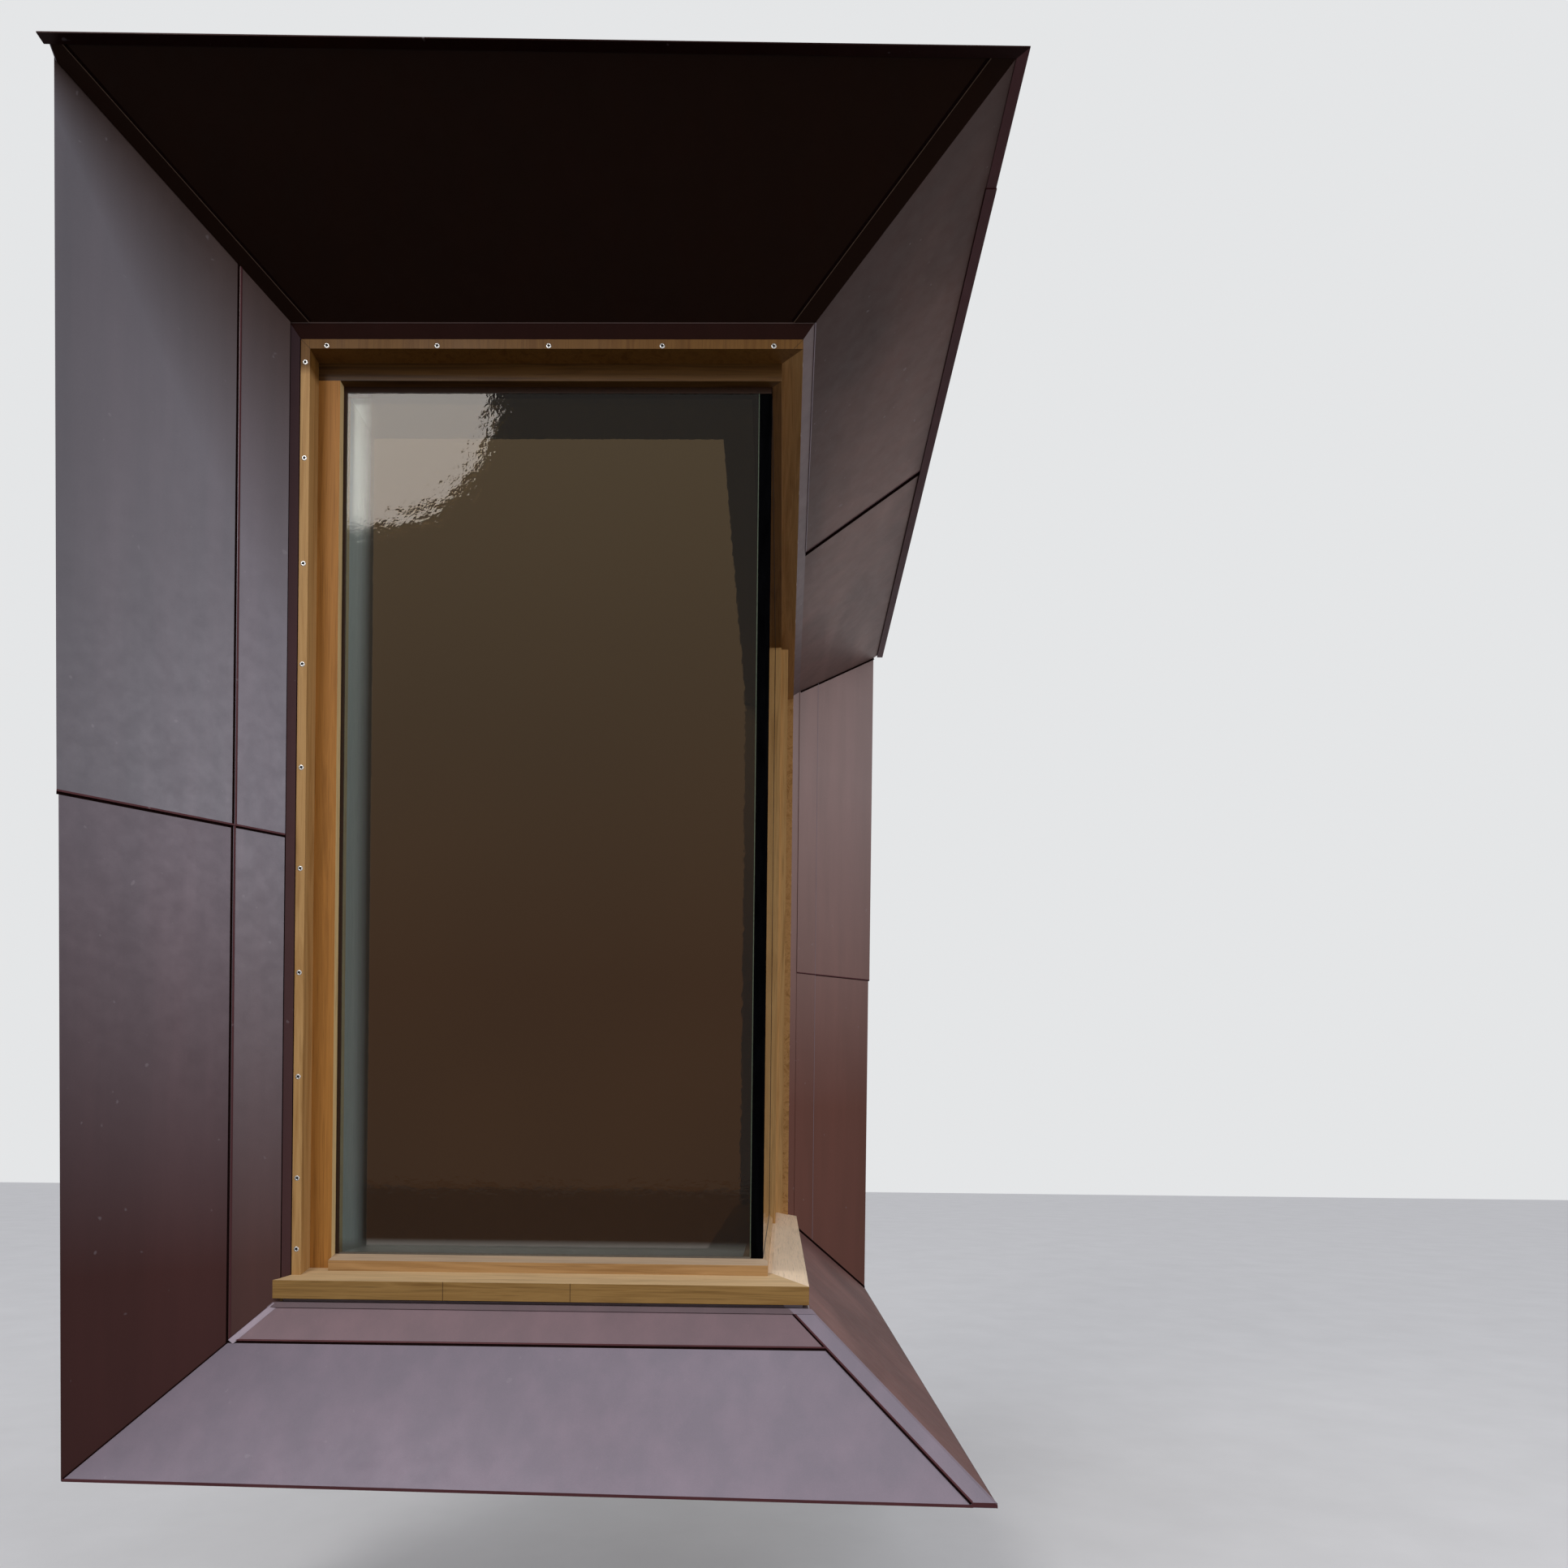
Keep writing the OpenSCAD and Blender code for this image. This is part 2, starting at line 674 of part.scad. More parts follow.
// Fixed pane, mullion and casement of the side window
mullion_end = mullion_at + mullion_w;
sash_near = mullion_end + sash_gap;
sash_end = side_w - jamb_w - sash_gap;
sash_low = rail_top + sash_drip;
sash_top = head_low - sash_gap;
sash_back = cover_d + sash_deep;
sash_glass = cover_d - sash_out + (sash_out + sash_deep - sash_glass_t) / 2;

module side_mullion() {
    color(oak) at_side() difference() {
        box(-mullion_end, -mullion_at, cover_d, frame_d, sill_top, head_low);
        rail(side_w, rail_side_face);
        box(-mullion_at - groove, 0, glass_d - glass_gap, glass_back + glass_gap,
            rail_top - groove, head_low);
    }
}

module sash_ring(x0, x1, y0, y1) {
    difference() {
        box(x0, x1, y0, y1, sash_low, sash_top);
        box(-sash_end + sash_w, -sash_near - sash_w, y0 - 1, y1 + 1,
            sash_low + sash_w, sash_top - sash_w);
    }
}

module casement_sash() {
    color(oak) at_side() difference() {
        union() {
            sash_ring(-side_w + jamb_w - sash_lap, -mullion_at - mullion_face,
                cover_d - sash_out, cover_d);
            sash_ring(-sash_end, -sash_near, cover_d, sash_back);
        }
        box(-sash_end + sash_w - groove, -sash_near - sash_w + groove,
            sash_glass - glass_gap, sash_glass + sash_glass_t + glass_gap,
            sash_low + sash_w - groove, sash_top - sash_w + groove);
    }
}

module glass_front() {
    color(glass) at_corner() pane(-front_w + jamb_w - glass_hold, -glass_back);
}

module glass_side() {
    color(glass) at_side() pane(-mullion_at - glass_hold, -glass_back);
}

module glass_casement() {
    color(glass) at_side()
        box(-sash_end + sash_w - glass_hold, -sash_near - sash_w + glass_hold,
            sash_glass, sash_glass + sash_glass_t,
            sash_low + sash_w - glass_hold, sash_top - sash_w + glass_hold);
}

// Black silicone between the edges of the two panes
module glass_corner_joint() {
    color("black") at_corner() pane(-glass_back, -glass_d);
}

// White linings and window boards on the room side
reveal_back = frame_d + reveal_front;
side_reveal_back = frame_d + reveal_side;

module lining(run, near, back) {
    side_x = -run + jamb_w;
    box(side_x - lining_t, side_x, frame_d, back, rail_top, head_low + lining_t);
    box(side_x - lining_t, near, frame_d, back, head_low, head_low + lining_t);
}

module window_board(run, near, back) {
    box(-run + jamb_w - lining_t, near, frame_d, back + board_nose, rail_top - board_t, rail_top);
}

module lining_front() { color(white) at_corner() lining(front_w, -frame_d, reveal_back); }

module lining_side() { color(white) at_side() lining(side_w, -reveal_back, side_reveal_back); }

module window_board_front() {
    color(white) at_corner() window_board(front_w, -frame_d, reveal_back);
}

module window_board_side() {
    color(white) at_side() window_board(side_w, -reveal_back - board_nose, side_reveal_back);
}

hood_soffit_front();
hood_soffit_side_near();
hood_soffit_side_far();
hood_corner_flashing();
hood_left_flashing();
hood_rim_front();
hood_rim_side_near();
hood_rim_side_far();
hood_roof_front();
hood_roof_side();
head_flashing_front();
head_flashing_side();
left_jamb_outer_upper();
left_jamb_outer_lower();
left_jamb_inner_upper();
left_jamb_inner_lower();
left_jamb_flashing();
left_cheek();
far_jamb_outer_upper();
far_jamb_outer_lower();
far_jamb_inner_upper();
far_jamb_inner_lower();
far_jamb_flashing();
far_cheek();
sill_tray_front();
sill_tray_side();
apron_band_front();
apron_sheet_front();
apron_corner_flashing();
apron_sheet_side();
apron_underside_front();
apron_underside_side();
hood_backing_front();
hood_backing_side();
left_jamb_backing();
far_jamb_backing();
apron_backing_front();
apron_backing_side();
oak_head_front();
oak_head_side();
oak_jamb_left();
oak_jamb_far();
oak_sill_front();
oak_sill_side();
oak_rail_front();
oak_rail_side();
cover_strips_front();
cover_strips_side();
side_mullion();
casement_sash();
glass_front();
glass_side();
glass_casement();
glass_corner_joint();
lining_front();
lining_side();
window_board_front();
window_board_side();
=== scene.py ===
"""The looks of a corner bay window: oak and glass in a flared surround of folded zinc sheets."""
import math

import bmesh
import bpy
from mathutils import Matrix, Vector


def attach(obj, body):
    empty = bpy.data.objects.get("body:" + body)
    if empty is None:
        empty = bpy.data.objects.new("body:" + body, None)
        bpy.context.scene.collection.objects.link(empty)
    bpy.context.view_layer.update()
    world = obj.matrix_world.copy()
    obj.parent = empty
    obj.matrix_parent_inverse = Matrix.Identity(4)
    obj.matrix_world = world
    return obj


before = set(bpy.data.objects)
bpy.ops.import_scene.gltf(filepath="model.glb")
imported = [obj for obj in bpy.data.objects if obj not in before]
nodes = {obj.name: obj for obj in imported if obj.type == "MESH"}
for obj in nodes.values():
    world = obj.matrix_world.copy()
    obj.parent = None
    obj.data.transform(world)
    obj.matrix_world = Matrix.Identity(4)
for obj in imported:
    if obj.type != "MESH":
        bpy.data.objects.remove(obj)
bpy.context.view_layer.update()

MM = 0.001
X, Y, Z = 0, 1, 2

# Camera, as solved from the photograph: place in metres, angles in radians, pixels of 1932
IMAGE = 1932
CAMERA_AT = (0.5383, -2.470, 0.556)
YAW = -0.0136
PITCH = -0.0011
ROLL = 0.0107
FOCAL_PX = 1350.16
CENTRE_U = 944.20
CENTRE_V = 1396.77
SENSOR = 36.0

# Sizes of the frame that the loose detail follows, in mm
FRONT_W = 1138
SIDE_W = 2012
CORNER_X = FRONT_W / 2
SILL_Z = 173
FRAME_TOP = 2342
GLASS_LOW = 263
GLASS_TOP = 2281
GLASS_Y = 70
JAMB_W = 71
COVER_W = 21
JOINT_W = 28
SILL_OUT = 35
SILL_T = 41
MULLION_AT = 1430

# The ways that the faces look, and the sides of their edges
JAMB_WAY = (1, -1, 0)
SOFFIT_WAY = (0, -1, -1)
SIDE_SOFFIT_WAY = (1, 0, -1)
APRON_WAY = (0, -1, 1)
SIDE_APRON_WAY = (1, 0, 1)
LEFT, RIGHT = (-1, 0, 0), (1, 0, 0)
FRONT, BACK = (0, -1, 0), (0, 1, 0)
DOWN, UP = (0, 0, -1), (0, 0, 1)
DOWN_FRONT = (0, -1, -0.6)
DOWN_SIDE = (1, 0, -0.6)
OUT_LEFT = (-1, -1, 0)
IN_RIGHT = (1, 1, 0)

# Camera


def rotation(yaw, pitch, roll):
    """The camera's world matrix from its turn to the right, tilt up and image roll."""
    cy, sy = math.cos(yaw), math.sin(yaw)
    cp, sp = math.cos(pitch), math.sin(pitch)
    cr, sr = math.cos(roll), math.sin(roll)
    turn = Matrix(((cy, -sy, 0), (sy, cy, 0), (0, 0, 1)))
    tilt = Matrix(((1, 0, 0), (0, cp, sp), (0, -sp, cp)))
    level = Matrix(((cr, 0, sr), (0, 1, 0), (-sr, 0, cr)))
    right, forward, up = level @ tilt @ turn
    return Matrix((right, up, -forward)).transposed()


def add_camera():
    """The photograph's camera, with the shift that its off-centre picture needs."""
    data = bpy.data.cameras.new("camera")
    data.sensor_width = SENSOR
    data.lens = SENSOR * FOCAL_PX / IMAGE
    data.shift_x = (IMAGE / 2 - CENTRE_U) / IMAGE
    data.shift_y = (CENTRE_V - IMAGE / 2) / IMAGE
    data.clip_start = 0.05
    camera = bpy.data.objects.new("camera", data)
    camera.matrix_world = Matrix.Translation(CAMERA_AT) @ rotation(YAW, PITCH, ROLL).to_4x4()
    bpy.context.scene.collection.objects.link(camera)
    bpy.context.scene.camera = camera


# Faces and edges of the CAD parts

MERGE = 1e-6           # m
FLAT_WITHIN = 0.004    # rad between faces that count as one
LOOKS_THAT_WAY = 0.6   # the least cosine to the way that is asked for
LENGTH_COUNTS = 0.05   # what a metre of length adds to an edge's claim


def outline(name, way):
    """The normal and the corners, in order, of a part's largest flat face that looks one way."""
    mesh = bmesh.new()
    mesh.from_mesh(nodes[name].data)
    bmesh.ops.remove_doubles(mesh, verts=mesh.verts, dist=MERGE)
    bmesh.ops.dissolve_limit(mesh, angle_limit=FLAT_WITHIN, verts=mesh.verts, edges=mesh.edges)
    towards = Vector(way).normalized()
    faces = [face for face in mesh.faces if face.normal.dot(towards) > LOOKS_THAT_WAY]
    face = max(faces, key=lambda each: each.calc_area())
    found = face.normal.copy(), [corner.co.copy() for corner in face.verts]
    mesh.free()
    return found


def edge(name, way, side):
    """The edge of that face on one side: its two ends, the way out of the face, the normal."""
    normal, corners = outline(name, way)
    towards = Vector(side).normalized()
    best = None
    for k, start in enumerate(corners):
        end = corners[(k + 1) % len(corners)]
        out = (end - start).normalized().cross(normal)
        score = out.dot(towards) + LENGTH_COUNTS * (end - start).length
        if best is None or score > best[0]:
            best = (score, start, end, out, normal)
    return best[1:]


# Materials


class Graph:
    """A short way of writing the nodes of a material or the world."""

    def __init__(self, tree):
        self.tree = tree

    def put(self, socket, value):
        """Links another node's output to a socket, or sets its number or colour."""
        if isinstance(value, bpy.types.NodeSocket):
            self.tree.links.new(value, socket)
        else:
            socket.default_value = value

    def node(self, kind, inputs=None, **settings):
        """A new node with its settings, and its inputs by name or number."""
        made = self.tree.nodes.new(kind)
        for key, value in settings.items():
            setattr(made, key, value)
        for key, value in (inputs or {}).items():
            self.put(made.inputs[key], value)
        return made

    def place(self, scale=(1, 1, 1)):
        """Object coordinates in metres, stretched by a scale."""
        coords = self.node("ShaderNodeTexCoord").outputs["Object"]
        return self.node("ShaderNodeMapping", {"Vector": coords, "Scale": scale}).outputs["Vector"]

    def along(self, axis):
        """A place's coordinate on one axis, in metres."""
        return self.node("ShaderNodeSeparateXYZ", {"Vector": self.place()}).outputs[axis]

    def off_face(self, name, way):
        """How far a place lies out from a part's flat face, in metres and up to 1."""
        normal, corners = outline(name, way)
        height = self.node("ShaderNodeVectorMath", {0: self.place(), 1: normal},
                           operation="DOT_PRODUCT").outputs["Value"]
        level = corners[0].dot(normal)
        return self.span(height, level, level + 1, 0, 1)

    def facing(self, axis):
        """How far the surface looks along an axis, 0 to 1."""
        normal = self.node("ShaderNodeNewGeometry").outputs["Normal"]
        split = self.node("ShaderNodeSeparateXYZ", {"Vector": normal})
        return self.span(split.outputs[axis], 0.3, 0.8, 0, 1)

    def noise(self, vector, scale, detail, rough, warp=0.0):
        """Noise from 0 to 1, with about as many waves to the metre as the scale."""
        made = self.node("ShaderNodeTexNoise", {"Vector": vector, "Scale": scale,
                                                "Detail": detail, "Roughness": rough,
                                                "Distortion": warp})
        return made.outputs["Fac"]

    def ramp(self, value, *stops):
        """A colour for each (place, colour) stop, with even changes between them."""
        made = self.node("ShaderNodeValToRGB", {"Fac": value})
        ramp = made.color_ramp
        while len(ramp.elements) < len(stops):
            ramp.elements.new(0.5)
        for element, (at, colour) in zip(ramp.elements, stops):
            element.position = at
            element.color = rgba(colour)
        return made.outputs["Color"]

    def mix(self, factor, a, b, how="MIX"):
        """The colour a, with b over it as far as the factor says."""
        made = self.node("ShaderNodeMix", {0: factor, 6: a, 7: b}, data_type="RGBA",
                         blend_type=how)
        return made.outputs[2]

    def tint(self, factor, base, by):
        """The base, multiplied by a colour or a number as far as the factor says."""
        return self.mix(factor, base, rgba(by) if isinstance(by, tuple) else by, "MULTIPLY")

    def span(self, value, low, high, out_low, out_high):
        """The value's place between two limits, as one between two others."""
        made = self.node("ShaderNodeMapRange", {"Value": value, "From Min": low,
                                                "From Max": high, "To Min": out_low,
                                                "To Max": out_high})
        return made.outputs["Result"]

    def bump(self, *layers):
        """Stacked bumps, each a (height, strength, distance in metres)."""
        below = {}
        for height, strength, distance in layers:
            made = self.node("ShaderNodeBump", {"Height": height, "Strength": strength,
                                                "Distance": distance, **below})
            below = {"Normal": made.outputs["Normal"]}
        return below["Normal"]


class Surface(Graph):
    """A material and the graph of its nodes."""

    def __init__(self, name):
        self.material = bpy.data.materials.new(name)
        self.material.use_nodes = True
        super().__init__(self.material.node_tree)

    def shade(self, **values):
        """Sets the shader's sockets and returns the material."""
        shader = self.tree.nodes["Principled BSDF"]
        for key, value in values.items():
            self.put(shader.inputs[key.replace("_", " ")], value)
        return self.material


def srgb(r, g, b):
    """A linear colour from 8-bit sRGB values."""
    def channel(value):
        value /= 255
        return value / 12.92 if value <= 0.04045 else ((value + 0.055) / 1.055) ** 2.4
    return (channel(r), channel(g), channel(b))


def rgba(colour):
    """A colour with the fourth value that a socket wants."""
    return (*colour, 1)


def times(colour, factor):
    """A colour made paler or darker."""
    return tuple(factor * c for c in colour)


def stretched(axis, factor):
    """A scale that draws a texture out along one axis."""
    return tuple(factor if k == axis else 1.0 for k in range(3))


# What the zinc's layers multiply its tone by, the colour of its specks, and the painted shade
# under the hood
CLOUD = (0.91, 0.90, 0.90)
RUN_MARK = (1.35, 1.25, 1.25)
# SHEEN is a painted highlight: the paler bands where oil-canned sheets catch the light
SHEEN = (1.9, 1.9, 1.85)
GRAIN = (1.3, 1.3, 1.3)
SPECK = srgb(150, 142, 148)
HOOD_SHADE = (0.40, 0.28, 0.22)
HOOD_SHADE_X = (-0.92, -0.60)        # m, from the left jamb's outer edge to near the window
HOOD_SHADE_REACH = (0.05, 0.53)      # m below the front soffit that the painted shade reaches, at those two places
JAMB_GAIN_X = (-0.88, -0.70)   # m, across the left jamb's outer sheets


def zinc(name, tone, fade=None, rough=0.42, metallic=0.3, level=0.3, sheen=0.0, gain=None,
         shaded_by_hood=False):
    """Plum-brown weathered zinc: cloudy patina, faint run marks, and oil-canning as a painted
    sheen highlight.

    fade is (axis, from, to, tone): the tone that the sheet has past the second place. gain is
    (axis, from, to, factor, factor). A sheet in the hood's shade darkens to brown towards the
    front soffit: painted shade.
    """
    g = Surface(name)
    at = g.place()
    cloud = g.noise(at, scale=1.3, detail=3, rough=0.55, warp=0.6)
    runs = g.noise(g.place((11, 11, 0.8)), scale=1.0, detail=4, rough=0.6)
    grain = g.noise(at, scale=420, detail=2, rough=0.6)
    base = rgba(tone)
    if fade:
        axis, start, stop, other = fade
        base = g.mix(g.span(g.along(axis), start, stop, 0, 1), base, rgba(other))
    if gain:
        axis, *limits = gain
        base = g.tint(1.0, base, g.span(g.along(axis), *limits))
    # Painted shade: the sheet darkens to brown towards the front soffit, where the hood shades it
    if shaded_by_hood:
        reach = g.span(g.along(X), *HOOD_SHADE_X, *HOOD_SHADE_REACH)
        depth = g.off_face("hood_soffit_front", SOFFIT_WAY)
        base = g.tint(g.span(depth, 0, reach, 1, 0), base, HOOD_SHADE)
    base = g.tint(g.span(cloud, 0.3, 0.7, 0, 1), base, CLOUD)
    base = g.tint(g.span(runs, 0.4, 0.75, 0, 0.5), base, RUN_MARK)
    # Painted highlight: soft paler bands of sheen, where oil-canned sheets catch the light
    if sheen:
        bands = g.noise(g.place((2.2, 0.8, 2.2)), scale=1.5, detail=2, rough=0.4, warp=0.5)
        base = g.tint(g.span(bands, 0.47, 0.68, 0, sheen), base, SHEEN)
    if metallic:
        specks = g.noise(at, scale=52, detail=1, rough=0.4)
        base = g.mix(g.span(specks, 0.77, 0.81, 0, 0.22), base, rgba(SPECK))
    base = g.tint(g.span(grain, 0.35, 0.75, 0, 0.2), base, GRAIN)
    wear = g.noise(at, scale=30, detail=4, rough=0.6)
    waves = g.noise(g.place(stretched(Z, 0.6)), scale=1.8, detail=1.0, rough=0.4)
    return g.shade(
        Base_Color=base,
        Metallic=metallic,
        Specular_IOR_Level=level,
        Roughness=g.span(wear, 0.3, 0.7, rough - 0.04, rough + 0.06),
        Normal=g.bump((waves, 0.3, 0.012), (grain, 0.04, 0.0004)),
    )


def oak(name, axis, dark, light, lit_face=None, shaded=None, rough=0.5):
    """Oiled oak with its grain along one axis.

    The faces that look along one axis can take a paler tone, given as (axis, tone), as painted
    light where more light falls on them; shaded is (from, to, factor) in height.
    """
    g = Surface(name)
    slow = g.place(stretched(axis, 0.045))
    rings = g.noise(slow, scale=34, detail=4, rough=0.6, warp=0.9)
    board = g.noise(slow, scale=5, detail=2, rough=0.5, warp=0.4)
    pores = g.noise(g.place(stretched(axis, 0.015)), scale=420, detail=2, rough=0.6)
    flecks = g.noise(slow, scale=150, detail=2, rough=0.5)
    base = g.ramp(rings, (0.32, dark), (0.5, light), (0.68, times(dark, 1.15)))
    base = g.mix(g.span(board, 0.3, 0.7, 0, 0.45), base, rgba(light))
    # Painted light: faces that look along the axis, such as sill and rail tops, are paler where
    # more light falls
    if lit_face:
        across, tone = lit_face
        pale = g.ramp(rings, (0.3, times(tone, 0.82)), (0.55, tone), (0.75, times(tone, 0.9)))
        base = g.mix(g.facing(across), base, pale)
    base = g.mix(g.span(pores, 0.56, 0.7, 0, 0.4), base, rgba(times(dark, 0.5)))
    base = g.mix(g.span(flecks, 0.62, 0.75, 0, 0.25), base, rgba(times(light, 1.15)))
    if shaded:
        low, high, factor = shaded
        base = g.tint(g.span(g.along(Z), low, high, 0, 1), base, factor)
    return g.shade(
        Base_Color=base,
        Specular_IOR_Level=0.2,
        Roughness=g.span(board, 0.3, 0.7, rough - 0.06, rough + 0.08),
        Normal=g.bump((rings, 0.25, 0.0006), (pores, 0.35, 0.0004)),
    )


# The glass tint from low to high, dark as painted shade of the room behind, and where it
# clears towards the lining and the board (m), as painted light on them
TINT_LOW = ((0.034, 0.013, 0.003), (0.048, 0.019, 0.005))
TINT_HIGH = (0.074, 0.050, 0.024)
TINT_Z = (0.9, 2.3)
LINING_LIGHT_TINT = (0.66, 0.74, 0.71)
LINING_X = (-0.462, -0.432)
BOARD_LIGHT_TINT = (0.40, 0.38, 0.33)
BOARD_Z = (0.278, 0.300)
REFLECTION = (1.0, 0.92, 0.84)


def pane_glass():
    """Sealed units with a dark warm tint, painted shade of the room behind, that clears towards
    the lining and the board as painted light on them.
    """
    g = Surface("glass")
    drift = g.noise(g.place(), scale=0.9, detail=2, rough=0.5)
    ripple = g.noise(g.place(), scale=20, detail=4, rough=0.6)
    low = g.ramp(drift, *zip((0.3, 0.7), TINT_LOW))
    tint = g.mix(g.span(g.along(Z), *TINT_Z, 0, 1), low, rgba(TINT_HIGH))
    # Painted light: the tint clears where the lining and the board are seen, as if daylight lit
    # them
    tint = g.mix(g.span(g.along(X), *LINING_X, 0.9, 0), tint, rgba(LINING_LIGHT_TINT))
    tint = g.mix(g.span(g.along(Z), *BOARD_Z, 0.7, 0), tint, rgba(BOARD_LIGHT_TINT))
    return g.shade(
        Base_Color=tint,
        Roughness=0.0,
        IOR=1.3,
        Transmission_Weight=1.0,
        Specular_Tint=rgba(REFLECTION),
        Normal=g.bump((drift, 0.1, 0.004), (ripple, 1.0, 0.00035)),
    )


def plain(name, low, high, scale, rough, metallic=0.0, stretch=(1, 1, 1), bump=0.0006,
          level=0.3):
    """A material of two near tones with a fine grain of one size."""
    g = Surface(name)
    grain = g.noise(g.place(stretch), scale, detail=3, rough=0.6)
    return g.shade(
        Base_Color=g.ramp(grain, (0.3, low), (0.7, high)),
        Metallic=metallic,
        Specular_IOR_Level=level,
        Roughness=g.span(grain, 0.3, 0.7, rough - 0.06, rough + 0.08),
        Normal=g.bump((grain, 0.25, bump)),
    )


def zinc_plan():
    """The zinc sheets' materials, by how their names start."""
    # The soffit and the apron's underside face down: their near-black tone is painted shade
    soffit = zinc("zinc_soffit_shade", srgb(24, 9, 3), rough=0.5, metallic=0.0, level=0.05)
    return (
        ("hood_rim_front", zinc("zinc_rim_front", srgb(34, 15, 13), rough=0.36, level=0.05)),
        ("hood_rim", zinc("zinc_rim", srgb(76, 34, 38), rough=0.36)),
        ("hood_roof", zinc("zinc_roof", srgb(104, 95, 100))),
        ("hood_soffit_side", zinc("zinc_side_hood", srgb(60, 38, 33), level=0.1, sheen=0.7,
                                  fade=(Y, 0.1, 1.7, srgb(124, 103, 99)))),
        ("hood", soffit),
        ("head_flashing_front", zinc("zinc_reveal", srgb(50, 29, 25), rough=0.5, metallic=0.0,
                                     level=0.05)),
        ("head_flashing_side", zinc("zinc_side_head", srgb(110, 94, 95), level=0.2)),
        # The far and left jambs' sheets darken and warm towards the bottom: painted shade and a
        # painted reflection of the ground
        ("far", zinc("zinc_far", srgb(150, 130, 128), level=0.1,
                     fade=(Z, 2.06, 0.66, srgb(109, 73, 64)))),
        # This sheet takes painted shade under the hood, towards the front soffit
        ("left_jamb_inner", zinc("zinc_left_inner", srgb(121, 116, 124), level=0.2, shaded_by_hood=True,
                                 fade=(Z, 1.25, 0.25, srgb(80, 54, 50)))),
        ("left_jamb_outer_lower", zinc("zinc_left_low", srgb(107, 99, 106), level=0.1,
                                       fade=(Z, 1.15, 0.25, srgb(68, 42, 40)),
                                       gain=(X, *JAMB_GAIN_X, 0.9, 1.15))),
        ("left_jamb_flashing", zinc("zinc_left_reveal", srgb(76, 52, 53), level=0.1,
                                    fade=(Z, 1.2, 2.3, srgb(66, 50, 54)))),
        ("left_cheek", zinc("zinc_cheek", srgb(107, 102, 109))),
        # These sheets take painted shade under the hood, towards the front soffit
        ("left", zinc("zinc_left", srgb(107, 103, 110), shaded_by_hood=True,
                      gain=(X, *JAMB_GAIN_X, 0.88, 1.2))),
        ("apron_band", zinc("zinc_band", srgb(125, 105, 110))),
        ("apron_sheet_side", zinc("zinc_side_apron", srgb(102, 74, 70), rough=0.62,
                                  metallic=0.0, level=0.05, sheen=0.5)),
        ("apron_underside", soffit),
        ("apron", zinc("zinc_pale", srgb(115, 105, 116),
                       fade=(X, -0.8, 0.5, srgb(137, 127, 138)))),
        ("sill_tray", zinc("zinc_tray", srgb(104, 88, 92))),
    )


def oak_plan():
    """The oak's materials, by how the names start. The last one is for all that is left."""
    covers = (srgb(146, 103, 52), srgb(194, 151, 96))
    under_hood = (2.262, 2.284, (0.34, 0.27, 0.15))
    return (
        # The front head sits under the hood: its dark oak is painted shade
        ("oak_head_front", oak("oak_x_shade", X, srgb(52, 28, 6), srgb(92, 62, 26))),
        ("oak_head_side", oak("oak_y", Y, srgb(84, 50, 16), srgb(134, 94, 48))),
        ("cover_strips_side", oak("oak_cover_side", Y, *covers)),
        ("cover_strips", oak("oak_cover", Z, *covers, shaded=under_hood)),
        ("oak_sill_front", oak("oak_sill_x", X, srgb(114, 80, 36), srgb(156, 120, 68),
                               lit_face=(Z, srgb(206, 174, 130)))),
        ("oak_sill_side", oak("oak_sill_y", Y, srgb(178, 146, 106), srgb(214, 186, 148),
                              lit_face=(Z, srgb(250, 222, 188)))),
        ("oak_rail_front", oak("oak_rail_x", X, srgb(138, 98, 52), srgb(184, 142, 92),
                               lit_face=(Z, srgb(188, 162, 134)))),
        ("oak_rail_side", oak("oak_rail_y", Y, srgb(150, 112, 66), srgb(196, 156, 106))),
        ("oak_jamb_left", oak("oak_z", Z, srgb(130, 82, 30), srgb(176, 120, 56),
                              lit_face=(X, srgb(238, 204, 146)))),
        # The rest of the oak, much of it in the hood's shade, is made paler as painted light
        ("", oak("oak_z_side_lit", Z, srgb(160, 116, 64), srgb(208, 164, 106))),
    )


def dress_nodes():
    """Gives each CAD part the first material whose start of a name fits its own."""
    timber = plain("sheathing", srgb(150, 118, 76), srgb(196, 164, 116), 26, 0.72,
                   stretch=(0.06, 0.06, 1.0), bump=0.001)
    board = plain("white_board", srgb(210, 220, 219), srgb(226, 234, 233), 160, 0.44,
                  stretch=stretched(Z, 0.1), bump=0.0004)
    black = plain("black_silicone", srgb(3, 3, 4), srgb(8, 8, 10), 90, 0.45,
                  stretch=stretched(Z, 0.15), level=0.0)
    plan = (
        ("hood_backing", timber), ("left_jamb_backing", timber), ("far_jamb_backing", timber),
        ("apron_backing", timber), ("glass_corner_joint", black), ("glass", pane_glass()),
        ("lining", board), ("window_board", board), *zinc_plan(), *oak_plan(),
    )
    for name, node in nodes.items():
        node.data.materials.clear()
        node.data.materials.append(
            next(material for start, material in plan if name.startswith(start)))


# Loose detail: seams and hems, the tray's end, glazing bands, screws and joints in the oak


def sweep(mesh, start, end, out, normal, profile, slot=0):
    """A bar from start to end with a closed profile of (outwards, along the normal) in mm."""
    rings = [[mesh.verts.new(at + out * (u * MM) + normal * (v * MM)) for u, v in profile]
             for at in (start, end)]
    count = len(profile)
    faces = [mesh.faces.new((rings[0][k], rings[0][(k + 1) % count],
                             rings[1][(k + 1) % count], rings[1][k])) for k in range(count)]
    faces += [mesh.faces.new(rings[0][::-1]), mesh.faces.new(rings[1])]
    for face in faces:
        face.material_index = slot


